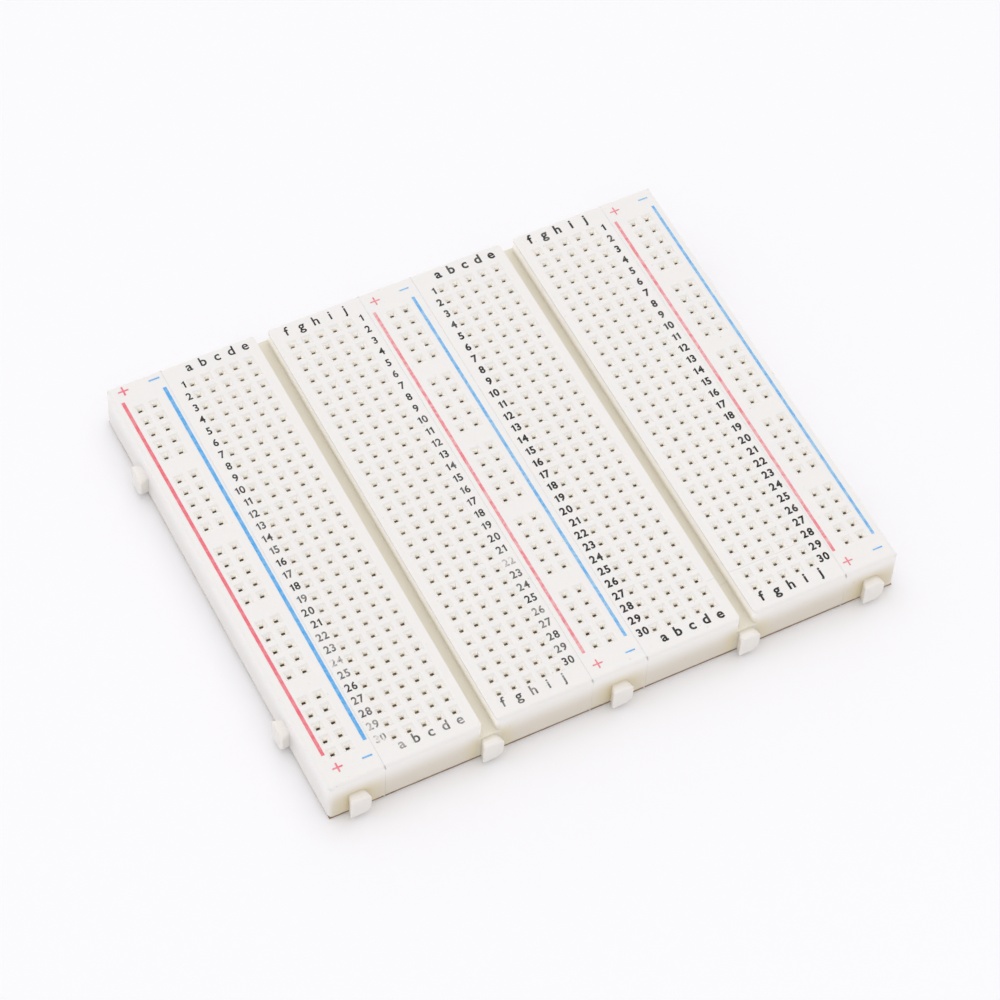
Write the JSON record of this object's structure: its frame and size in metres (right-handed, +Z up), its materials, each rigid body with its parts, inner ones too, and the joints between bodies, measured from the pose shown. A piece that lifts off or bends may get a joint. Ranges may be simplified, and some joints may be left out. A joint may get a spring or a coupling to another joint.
{
  "type": "solderless breadboard",
  "caption": "Modular solderless breadboard of ivory plastic: square tie-point holes over spring clips, power rails and terminal strips joined by dovetails, foam-backed.",
  "frame": {"origin": "centre of the underside, on the surface that the board lies on, under the middle power rail", "axes": "+X across the modules towards the right power rail, +Y along the rows towards row 1, +Z up out of the tie-point face"},
  "size_m": [0.1006, 0.0846, 0.0085],
  "materials": {
    "ivory_plastic": "satin moulded ABS",
    "plated_spring_metal": "nickel-plated phosphor bronze",
    "foam": "closed-cell adhesive foam",
    "kraft_paper": "waxed kraft release paper"
  },
  "bodies": {
    "rail_left": {"rail_left_body": "ivory_plastic", "rail_left_plus_clip": "plated_spring_metal", "rail_left_minus_clip": "plated_spring_metal", "rail_left_foam_pad": "foam", "rail_left_release_liner": "kraft_paper"},
    "strip_1": {"strip_1_body": "ivory_plastic", "strip_1_clips_a_to_e": "plated_spring_metal", "strip_1_clips_f_to_j": "plated_spring_metal", "strip_1_foam_pad": "foam", "strip_1_release_liner": "kraft_paper"},
    "rail_middle": {"rail_middle_body": "ivory_plastic", "rail_middle_plus_clip": "plated_spring_metal", "rail_middle_minus_clip": "plated_spring_metal", "rail_middle_foam_pad": "foam", "rail_middle_release_liner": "kraft_paper"},
    "strip_2": {"strip_2_body": "ivory_plastic", "strip_2_clips_a_to_e": "plated_spring_metal", "strip_2_clips_f_to_j": "plated_spring_metal", "strip_2_foam_pad": "foam", "strip_2_release_liner": "kraft_paper"},
    "rail_right": {"rail_right_body": "ivory_plastic", "rail_right_plus_clip": "plated_spring_metal", "rail_right_minus_clip": "plated_spring_metal", "rail_right_foam_pad": "foam", "rail_right_release_liner": "kraft_paper"}
  },
  "joints": [
    {"name": "strip_2_lift", "type": "slide", "parent": "rail_right", "child": "strip_2", "axis": [0, 0, 1], "range_m": [0, 0.0046]},
    {"name": "rail_middle_lift", "type": "slide", "parent": "strip_2", "child": "rail_middle", "axis": [0, 0, 1], "range_m": [0, 0.0046]},
    {"name": "strip_1_lift", "type": "slide", "parent": "rail_middle", "child": "strip_1", "axis": [0, 0, 1], "range_m": [0, 0.0046]},
    {"name": "rail_left_lift", "type": "slide", "parent": "strip_1", "child": "rail_left", "axis": [0, 0, 1], "range_m": [0, 0.0046]}
  ]
}
